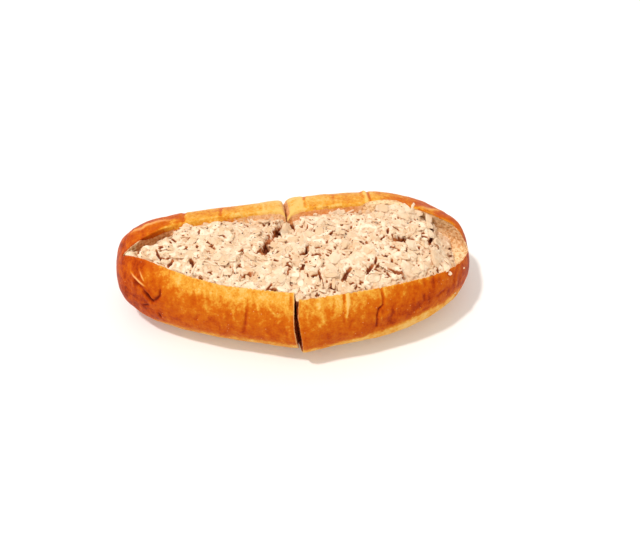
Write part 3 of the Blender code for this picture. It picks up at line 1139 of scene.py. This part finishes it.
def waves(places, size, seed):
    """A smooth random field of about unit height, the sum of plane waves about that long."""
    random = np.random.default_rng(seed)
    total = np.zeros(len(places))
    for _ in range(WAVES):
        way = random.normal(0, 1, places.shape[1])
        way *= 2 * math.pi / size / random.uniform(0.7, 1.6) / np.linalg.norm(way)
        total += np.cos(places @ way + random.uniform(0, 2 * math.pi))
    return total / math.sqrt(WAVES / 2)


def creamy(from_above):
    """1 in the patches where mayonnaise hides the flakes, for places in millimetres."""
    return soft_step(waves(from_above, CREAMY_SIZE, CREAMY_SEED), *CREAMY_LEVELS)


print("creamy patches are about", CREAMY_SIZE, "mm long")

# %% Small gaps
SMALL_GAPS = 230
CREAMY_ALLOWED = 1.2
LONG_GAPS, LONG_GAP, SHORT_GAP = 0.45, (1.5, 5.5), (0.1, 1.2)
SMALL_GAP_WIDTHS, SMALL_GAP_DEPTHS = (0.45, 0.80), (1.4, 3.0)


def small_gaps(heap, random):
    gaps = []
    for place, _ in heap.random_tops(SMALL_GAPS, random):
        x, y = place.x / MM, place.y / MM
        if creamy(np.array(((x, y),)))[0] > random.uniform(0, CREAMY_ALLOWED):
            continue
        turn = random.uniform(0, math.pi)
        length = random.uniform(*(LONG_GAP if random.random() < LONG_GAPS else SHORT_GAP))
        end = (x + length * math.cos(turn), y + length * math.sin(turn))
        width, depth = random.uniform(*SMALL_GAP_WIDTHS), random.uniform(*SMALL_GAP_DEPTHS)
        gaps.append(Gap(((x, y), end), width, depth))
    return gaps


print("each half tries", SMALL_GAPS, "small gaps")

# %% [markdown]
# ## The salad
#
# The core is a copy of the solid whose top is lowered. Flakes are laid on it at the true
# height, everything is fused by a voxel Remesh, as mayonnaise does, and the gaps are pressed
# in. Each vertex then remembers how deep it lies and which flake it belongs to, so that the
# material can paint shade into gaps and deep places and give flakes their own tint.

# %% The core under the flakes
SALAD_SHARP = math.radians(50)
CORE_LOWERED = 3.4 * MM
CORE_SIDE = (0.2, 0.7)
DIP_HEIGHTS = (28 * MM, 42 * MM)
WALL_PRESSED = 0.9 * MM
BORDER_REACH = 3 * MM
BORDER_LOWERED = 0.3


def lowered_core(half):
    core = skin_copy(f"filling_{half}", f"salad_{half}", SALAD_SHARP, ROUNDINGS)
    places, facing = read(core), read(core, "normal")
    side = 1 - soft_step(facing[:, 2], *CORE_SIDE)
    x, y, z = places.T
    places[:, 2] -= dipped(x, y) * soft_step(z, *DIP_HEIGHTS)
    border = [
        any(heaps[half].solid_top(x, y + reach) is None for reach in (-BORDER_REACH, BORDER_REACH))
        for x, y, _ in places
    ]
    places[:, 2] -= CORE_LOWERED * (1 - side) * np.where(border, BORDER_LOWERED, 1.0)
    places += facing * (side * WALL_PRESSED)[:, None]
    write(core, places)
    return core


print("the core lies", CORE_LOWERED / MM, "mm under the flakes")

# %% Laying the flakes
FLAKE_KINDS = (
    # shapes, how many, least and most length, tilt, how deep they may sink
    (PLATES, 430, 6.5 * MM, 15 * MM, 0.20, 1.6 * MM),
    (CHIPS, 320, 2.5 * MM, 5.5 * MM, 0.35, 0.8 * MM),
    (SHREDS, 300, 4.0 * MM, 9.0 * MM, 0.22, 0.3 * MM),
)
FLAKE_WIDTHS, FLAKE_THICKNESSES, FLAKE_SUNK = (0.8, 1.25), (0.8, 1.2), (0.2, 1.0)
FLAKE_SMALLER = (1.0, 0.6, 0.35)
FLAKE_BESIDE = 0.12
DEEP_FROM = 3.2


def in_deep_gap(place, half, margin):
    """Whether a place is in a deep gap or nearer to one than the margin, in metres."""
    spot = np.array(((place.x, place.y),)) / MM
    deep = [gap for gap in DEEP_GAPS[half] if gap.depth > DEEP_FROM]
    return any(distance_to(gap.path, spot)[0][0] < gap.width + margin / MM for gap in deep)


def flakes_on(half, random):
    copies = []
    for shapes, count, least, most, tilt, depth in FLAKE_KINDS:
        for place, facing in heaps[half].random_tops(count, random):
            if in_deep_gap(place, half, 0):
                continue
            shape = shapes[random.integers(len(shapes))]
            turn = turned(facing, tilt, random)
            length = random.uniform(least, most) * narrowed(place)
            widths = random.uniform(*FLAKE_WIDTHS), random.uniform(*FLAKE_THICKNESSES)
            where = place - facing * (random.uniform(*FLAKE_SUNK) * depth)
            sizes = [length * smaller for smaller in FLAKE_SMALLER]
            copies += fitted(shape, turn, np.array((1.0, *widths)), where, sizes, FLAKE_BESIDE)
    return copies


print("each half gets up to", sum(kind[1] for kind in FLAKE_KINDS), "fused flakes")

# %% Cleaning up and pressing gaps
TOP_FREE = 66 * MM
TOP_SHARE = 0.5
GAP_ENDS = 0.08
GAP_STEEPNESS = 6
RAGGED, RAGGED_SIZE, RAGGED_SEED = 0.25, 2.5, 5
GAP_FACING = (-0.1, 0.3)


def hold_down(piece):
    """Halves what stands above the height that the solids reach."""
    places = read(piece)
    places[:, 2] -= np.maximum(places[:, 2] - TOP_FREE, 0) * (1 - TOP_SHARE)
    write(piece, places)


def keep_outer_skin(piece):
    """Deletes what isn't joined to the heap's lowest point: bubbles inside and loose flakes."""
    pick(piece)
    lowest = int(read(piece)[:, 2].argmin())
    bpy.ops.object.mode_set(mode="EDIT")
    bpy.ops.mesh.select_mode(type="VERT")
    bpy.ops.mesh.select_all(action="DESELECT")
    bpy.ops.object.mode_set(mode="OBJECT")
    piece.data.vertices[lowest].select = True
    bpy.ops.object.mode_set(mode="EDIT")
    bpy.ops.mesh.select_linked()
    bpy.ops.mesh.select_all(action="INVERT")
    bpy.ops.mesh.delete(type="VERT")
    bpy.ops.object.mode_set(mode="OBJECT")


def press_gaps(piece, gaps):
    """Presses the gaps into the top of the salad and returns how much of a gap each vertex is."""
    places, facing = read(piece), read(piece, "normal")
    from_above = places[:, :2] / MM
    ragged = 1 + RAGGED * waves(from_above, RAGGED_SIZE, RAGGED_SEED)
    pressed = np.zeros(len(places))
    inside = np.zeros(len(places))
    for gap in gaps:
        reach = max(gap.width * 3, 3.0)
        corners = np.array(gap.path)
        low, high = corners.min(axis=0) - reach, corners.max(axis=0) + reach
        near = np.flatnonzero(np.all((from_above > low) & (from_above < high), axis=1))
        away, along = distance_to(gap.path, from_above[near])
        rounded = 1 + (away * ragged[near] / gap.width) ** GAP_STEEPNESS
        share = tapered(along, GAP_ENDS) / rounded
        pressed[near] = np.maximum(pressed[near], gap.depth * share)
        inside[near] = np.maximum(inside[near], share * min(gap.depth / 2, 1))
    upward = soft_step(facing[:, 2], *GAP_FACING)
    places[:, 2] -= pressed * upward * MM
    write(piece, places)
    return inside * upward


print("above", TOP_FREE, "m the flakes are pressed down")

# %% What each vertex remembers
GRAIN_SHIFT = 40
SEEN_IN_CUT = (3 * MM, -30 * MM, 54 * MM)


def paint_depth(piece, heap):
    """Paints how far each vertex lies under the heap's top, in millimetres."""
    depths = []
    for x, y, z in read(piece):
        place, _ = heap.above(x, y)
        depths.append((place.z - dipped(x, y) - z) / MM if place else 0.0)
    paint(piece, "depth", np.array(depths))


def paint_flakes(piece, copies, random, palest):
    """Paints each vertex with its flake's tint and its place across the grain of that flake."""
    tree = KDTree(len(copies))
    for i, copy in enumerate(copies):
        tree.insert(copy.place, i)
    tree.balance()
    tints = random.uniform(palest, 1, len(copies))
    nearest = [tree.find(place)[1] for place in read(piece)]
    ways = np.array([np.array(copy.turn)[:, 1] for copy in copies])
    centres = np.array([tuple(copy.place) for copy in copies])
    across = ((read(piece) - centres[nearest]) * ways[nearest]).sum(axis=1) / MM
    paint(piece, "tint", tints[nearest])
    paint(piece, "across", across + GRAIN_SHIFT * tints[nearest])


def behind_the_cut(piece):
    """1 on the part of the salad's side that shows through the open cut, which is painted shade."""
    reach, front, top = SEEN_IN_CUT
    x, y, z = read(piece).T
    return (np.abs(from_cut(x, y)) < reach) & (y < front) & (z < top)


print("the cut shows salad up to", SEEN_IN_CUT[2] / MM, "mm high")

# %% Making the salad
SALAD_VOXEL = 0.52 * MM
CREAMY_FROM, CREAMY_SMOOTHINGS = 0.5, 5
LUMP_SIZE, LUMP_HEIGHT = 2.2 * MM, 0.5 * MM


def make_salad(half, seed):
    random = np.random.default_rng(seed)
    core = lowered_core(half)
    copies = flakes_on(half, random)
    flakes = scattered(f"flakes_{half}", copies)
    pick(core)
    flakes.select_set(True)
    bpy.ops.object.join()
    apply_modifier(core, "REMESH", mode="VOXEL", voxel_size=SALAD_VOXEL)
    keep_outer_skin(core)
    apply_modifier(core, "SMOOTH", factor=SMOOTHING, iterations=1)
    group_of(core, "creamy", creamy(read(core)[:, :2] / MM) > CREAMY_FROM)
    creamy_part = {"vertex_group": "creamy", "iterations": CREAMY_SMOOTHINGS}
    apply_modifier(core, "SMOOTH", factor=SMOOTHING, **creamy_part)
    displace(core, "CLOUDS", LUMP_SIZE, LUMP_HEIGHT)
    inside = press_gaps(core, (*DEEP_GAPS[half], *small_gaps(heaps[half], random)))
    # Gaps and the side seen through the cut are painted dark brown as shade.
    paint(core, "gap", np.maximum(inside, behind_the_cut(core)))
    thin_out(core, MOST_TRIANGLES)
    hold_down(core)
    paint(core, "hollow", hollows(core, HOLLOW_ROUNDS))
    paint_depth(core, heaps[half])
    paint_flakes(core, copies, random, 0.0)
    return core


salads = {half: make_salad(half, seed) for seed, half in enumerate(HALVES, 11)}

# %% [markdown]
# ## The finish of the salad
#
# Mayonnaise and tuna are close in colour, so what tells flakes apart is a small change of
# tint from one to the next, fine fibres across each flake, and brown painted shade between
# them: in crevices, in deep places and in gaps.
# The fibres are noise in one dimension, read from the place across the grain. A little
# light goes through such a moist heap, which Subsurface gives.

# %% The salad's colours
CREAM, FLESH, CREVICE_SHADE = shade(253, 230, 202), shade(224, 187, 147), shade(176, 108, 58)
SHADED, GAP_EDGE_SHADE, GAP_FLOOR_SHADE = shade(184, 112, 60), shade(176, 98, 46), shade(118, 50, 18)
FLESH_LEVELS, CREVICE_LEVELS, CREVICE_MOST = (0.25, 0.75), (0.05, 0.26), 0.80
SHADED_LEVELS, SHADED_UNEVEN = (2.8, 6.0), 2.0
GAP_EDGE_LEVELS, GAP_FLOOR_LEVELS = (0.25, 0.50), (0.55, 0.90)
FLAKE_TINTS, PATCH_TINTS, FIBRE_TINTS = 0.45, 0.35, 0.20
FIBRE_BUMP = 1.2
print("flesh is shaded from", SHADED_LEVELS[0], "mm below the top")

# %% The salad's finish
salad = Finish("tuna salad", Roughness=0.55, Specular_IOR_Level=0.25, Subsurface_Weight=0.06)
salad.paint("Subsurface Radius", (1.0, 0.55, 0.3))
salad.paint("Subsurface Scale", 1.5 * MM)
fibre_sockets = {"W": salad.painted("across"), "Scale": 1.3, "Detail": 2.0}
fibres = salad.node("TexNoise", {"noise_dimensions": "1D"}, fibre_sockets, VALUE)
patches = salad.noise(8 * MM)
tint = salad.painted("tint") * FLAKE_TINTS + patches * PATCH_TINTS + fibres * FIBRE_TINTS
flesh = salad.mix(salad.step(tint, *FLESH_LEVELS), CREAM, FLESH)
# Painted shade in crevices, from the measured hollows.
crevice_shade = salad.step(salad.painted("hollow"), *CREVICE_LEVELS) * CREVICE_MOST
flesh = salad.mix(crevice_shade, flesh, CREVICE_SHADE)
depth = salad.painted("depth") + salad.noise(1.5 * MM) * SHADED_UNEVEN
flesh = salad.mix(salad.step(depth, *SHADED_LEVELS), flesh, SHADED)
# Painted shade in gaps and in the open cut.
gap_shade = salad.painted("gap")
flesh = salad.mix(salad.step(gap_shade, *GAP_EDGE_LEVELS), flesh, GAP_EDGE_SHADE)
flesh = salad.mix(salad.step(gap_shade, *GAP_FLOOR_LEVELS), flesh, GAP_FLOOR_SHADE)
salad.paint("Base Color", flesh)
salad.bump(salad.noise(0.9 * MM, 4.0, 0.6) + fibres * FIBRE_BUMP, 0.35 * MM, 0.7)
for piece in salads.values():
    piece.data.materials.append(salad.material)
print("salad finish on", [piece.name for piece in salads.values()])

# %% [markdown]
# ## Loose flakes on top
#
# Fusing rounds every edge. Real salad also shows crisp ones, so a thin layer of flakes and
# shreds lies on the fused heap, pressed a little into it. A ray finds the finished surface,
# and shading that is smooth only up to an angle keeps their torn edges sharp. Where the
# spoon brushed the bread, bits cling to the back wall just above the heap, and a few flakes
# that catch the eye are placed one by one.

# %% Flakes that cling to the wall
CLINGING = {
    # from and to along the roll, how many, and how high above the heap's edge, in millimetres
    "left": ((-78, -44, 6, -0.3), (-44, -8, 9, 0.2)),
    "right": ((0, 50, 18, 0.8), (50, 84, 8, 0.2)),
}
EDGE_LEVEL = 57 * MM
EDGE_BEFORE_WALL = 3 * MM
CLINGING_LOWEST = -1.5
CLINGING_SIZES = (2.0, 5.5)
CLINGING_TILT = 0.25
CLINGING_PROUD = 0.03

walls = {half: Surface(breads[half]) for half in HALVES}


def flakes_on_wall(half, random):
    """Bits of salad that cling to the back wall above the edge of the heap."""
    wall, copies = walls[half], []
    for first, last, count, highest in CLINGING[half]:
        for x in random.uniform(first, last, count) * MM:
            level, _ = wall.behind(x, EDGE_LEVEL)
            edge = heaps[half].top(x, level.y - EDGE_BEFORE_WALL) if level else None
            if edge:
                z = edge[0].z + random.uniform(CLINGING_LOWEST, highest) * MM
                place, facing = wall.behind(x, z)
                kinds = (PLATES, CHIPS, SHREDS)[random.integers(3)]
                size = random.uniform(*CLINGING_SIZES) * MM
                if place and facing.y < 0:
                    turn = turned(facing, CLINGING_TILT, random)
                    where = place + facing * size * CLINGING_PROUD
                    copies.append(Copy(kinds[random.integers(4)], turn, (size,) * 3, where))
    return copies


print("bits on the walls:", {half: sum(c[2] for c in CLINGING[half]) for half in HALVES})

# %% Flakes placed one by one
PLACED = {
    # place and length in millimetres, heading and lean in degrees
    "left": ((-22, 2, 62, 9, 60, 40), (-6, 9, 62, 10, 70, 50)),
    "right": (
        (65, 25.5, 63.6, 8, -15, 8),
        (73, 25.5, 63.0, 9, 25, 10),
        (81, 24.5, 61.8, 7, -25, 10),
        (88, 27, 59.5, 8, 75, 60),
        (90, 24, 58.5, 6, 10, 35),
        (98, 20, 56.5, 7, 80, 40),
        (97.5, 14, 56.5, 6, 100, 30),
        (97, 4, 57, 6, 95, 25),
        (104, -21.5, 48.5, 6, -55, 25),
        (107, -25, 46, 3, -55, 35),
        (112.6, -26.1, 26.3, 1.2, 0, 20),
        (119.9, -13.3, 38.3, 1.3, 60, 10),
    ),
}


def placed_flakes(half):
    copies = []
    for x, y, z, length, heading, lean in PLACED[half]:
        headed = Matrix.Rotation(math.radians(heading), 3, "Z")
        turn = headed @ Matrix.Rotation(math.radians(lean), 3, "X")
        shape = PLATES[int(length) % len(PLATES)]
        copies.append(Copy(shape, turn, (length * MM,) * 3, Vector((x, y, z)) * MM))
    return copies


print("flakes placed by hand:", {half: len(flakes) for half, flakes in PLACED.items()})

# %% Loose flakes
LOOSE_KINDS = (
    # shapes, how many, least and most length, tilt, share of the thickness that is sunk
    (PLATES, 45, 3.5 * MM, 8.0 * MM, 0.15, 0.55),
    (CHIPS, 36, 1.3 * MM, 2.8 * MM, 0.40, 0.65),
    (SHREDS, 85, 2.5 * MM, 7.0 * MM, 0.15, 0.40),
)
LOOSE_WIDTHS, LOOSE_THICKNESSES = (0.7, 1.3), (0.8, 1.2)
LOOSE_SMALLER = (1.0, 0.6)
LOOSE_BESIDE = 0.10
GAP_MARGIN = 0.4
MOST_BELOW = 3 * MM
SHARP_TEAR = math.radians(38)
LOOSE_PALEST = 0.4

surfaces = {half: Surface(salads[half]) for half in HALVES}


def loose_flakes(half, random):
    copies = []
    for shapes, count, least, most, tilt, sunk in LOOSE_KINDS:
        for rough, facing in heaps[half].random_tops(count, random):
            place, _ = surfaces[half].above(rough.x, rough.y)
            length = random.uniform(least, most) * narrowed(rough)
            if place is None or in_deep_gap(place, half, length * GAP_MARGIN):
                continue
            if rough.z - place.z > MOST_BELOW:
                continue
            shape = shapes[random.integers(len(shapes))]
            turn = turned(facing, tilt, random)
            widths = random.uniform(*LOOSE_WIDTHS), random.uniform(*LOOSE_THICKNESSES)
            where = place + facing * length * np.ptp(shape.places[:, 2]) * (0.5 - sunk)
            sizes = [length * smaller for smaller in LOOSE_SMALLER]
            copies += fitted(shape, turn, np.array((1.0, *widths)), where, sizes, LOOSE_BESIDE)
    return copies


def make_loose_flakes(half, seed):
    random = np.random.default_rng(seed)
    copies = flakes_on_wall(half, random) + placed_flakes(half) + loose_flakes(half, random)
    flakes = scattered(f"flakes_{half}", copies)
    hold_down(flakes)
    pick(flakes)
    bpy.ops.object.shade_smooth_by_angle(angle=SHARP_TEAR)
    paint_flakes(flakes, copies, random, LOOSE_PALEST)
    flakes.data.materials.append(salad.material)
    return flakes


loose = {half: make_loose_flakes(half, seed) for seed, half in enumerate(HALVES, 31)}
print("loose flakes have faces:", [len(piece.data.polygons) for piece in loose.values()])

# %% [markdown]
# ## Pepper
#
# Ground pepper is dark and angular. A speck is a small ball of twenty faces, shaken out of
# shape, and a few hundred of them in three sizes lie half sunk in the top flakes.

# %% Grains of pepper
PEPPER_TORN = 0.18


def pepper_grain(seed):
    bpy.ops.object.select_all(action="DESELECT")
    bpy.ops.mesh.primitive_ico_sphere_add(subdivisions=1, radius=0.5)
    bpy.ops.object.mode_set(mode="EDIT")
    bpy.ops.transform.vertex_random(offset=PEPPER_TORN, uniform=1.0, seed=seed)
    bpy.ops.object.mode_set(mode="OBJECT")
    return shape_of(bpy.context.object)


GRAINS = [pepper_grain(seed) for seed in range(4)]
print("a grain has", len(GRAINS[0].faces), "faces")


# %% Scattering the pepper
PEPPER_COUNT = 115
PEPPER_SIZES, PEPPER_SHARES, PEPPER_SPREAD = (0.55, 0.80, 1.15), (0.4, 0.35, 0.25), (0.8, 1.2)
PEPPER_WIDTHS, PEPPER_THICKNESSES = (0.7, 1.0), (0.5, 0.8)
PEPPER_FACING = 0.5
PEPPER_TILT = 0.5
PEPPER_PROUD = 0.2


def make_pepper(half, seed):
    random = np.random.default_rng(seed)
    copies = []
    for rough, _ in heaps[half].random_tops(PEPPER_COUNT, random):
        place, facing = surfaces[half].above(rough.x, rough.y)
        if place is None or facing.z < PEPPER_FACING:
            continue
        size = random.choice(PEPPER_SIZES, p=PEPPER_SHARES) * random.uniform(*PEPPER_SPREAD) * MM
        width, thickness = random.uniform(*PEPPER_WIDTHS), random.uniform(*PEPPER_THICKNESSES)
        grain = GRAINS[random.integers(len(GRAINS))]
        turn = turned(facing, PEPPER_TILT, random)
        scale = (size, size * width, size * thickness)
        copies.append(Copy(grain, turn, scale, place + facing * size * PEPPER_PROUD))
    return scattered(f"pepper_{half}", copies)


peppers = {half: make_pepper(half, seed) for seed, half in enumerate(HALVES, 21)}
print("pepper faces:", [len(piece.data.polygons) for piece in peppers.values()])

# %% The pepper's finish
pepper = Finish("ground pepper", Roughness=0.7)
pepper.paint("Base Color", pepper.mix(pepper.noise(0.5 * MM), shade(30, 20, 16), shade(88, 52, 32)))
for piece in peppers.values():
    piece.data.materials.append(pepper.material)
print("pepper finish on", [piece.name for piece in peppers.values()])

# %% [markdown]
# ## The table
#
# A plain pale floor catches the shadow and throws warm light back under the roll.

# %% Floor
TABLE_SIZE = 6
TABLE_GLOW = 0.11

bpy.ops.object.select_all(action="DESELECT")
bpy.ops.mesh.primitive_plane_add(size=TABLE_SIZE, location=(0, 0, 0))
table = bpy.context.object
table.name = "table"
table_finish = Finish("pale table", Roughness=0.8, Emission_Strength=TABLE_GLOW)
table_finish.paint("Base Color", (0.80, 0.79, 0.78, 1.0))
table_finish.paint("Emission Color", (1.0, 0.99, 0.97, 1.0))
table.data.materials.append(table_finish.material)
print("table is", tuple(table.dimensions))

# %% [markdown]
# ## Into the frame
#
# The bread and the salad stand for the solids that they were copied from, and those are
# hidden. Flakes and pepper are new. All of it rides on the one body, since nothing moves.

# %% Everything takes its place in the frame
for half in HALVES:
    for piece, node, slot in (
        (breads[half], f"roll_{half}", "crust"),
        (salads[half], f"filling_{half}", "tuna_salad"),
    ):
        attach(piece, "root")
        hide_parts(node)
    for piece, slot in ((loose[half], "tuna_salad"), (peppers[half], "pepper")):
        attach(piece, "root")
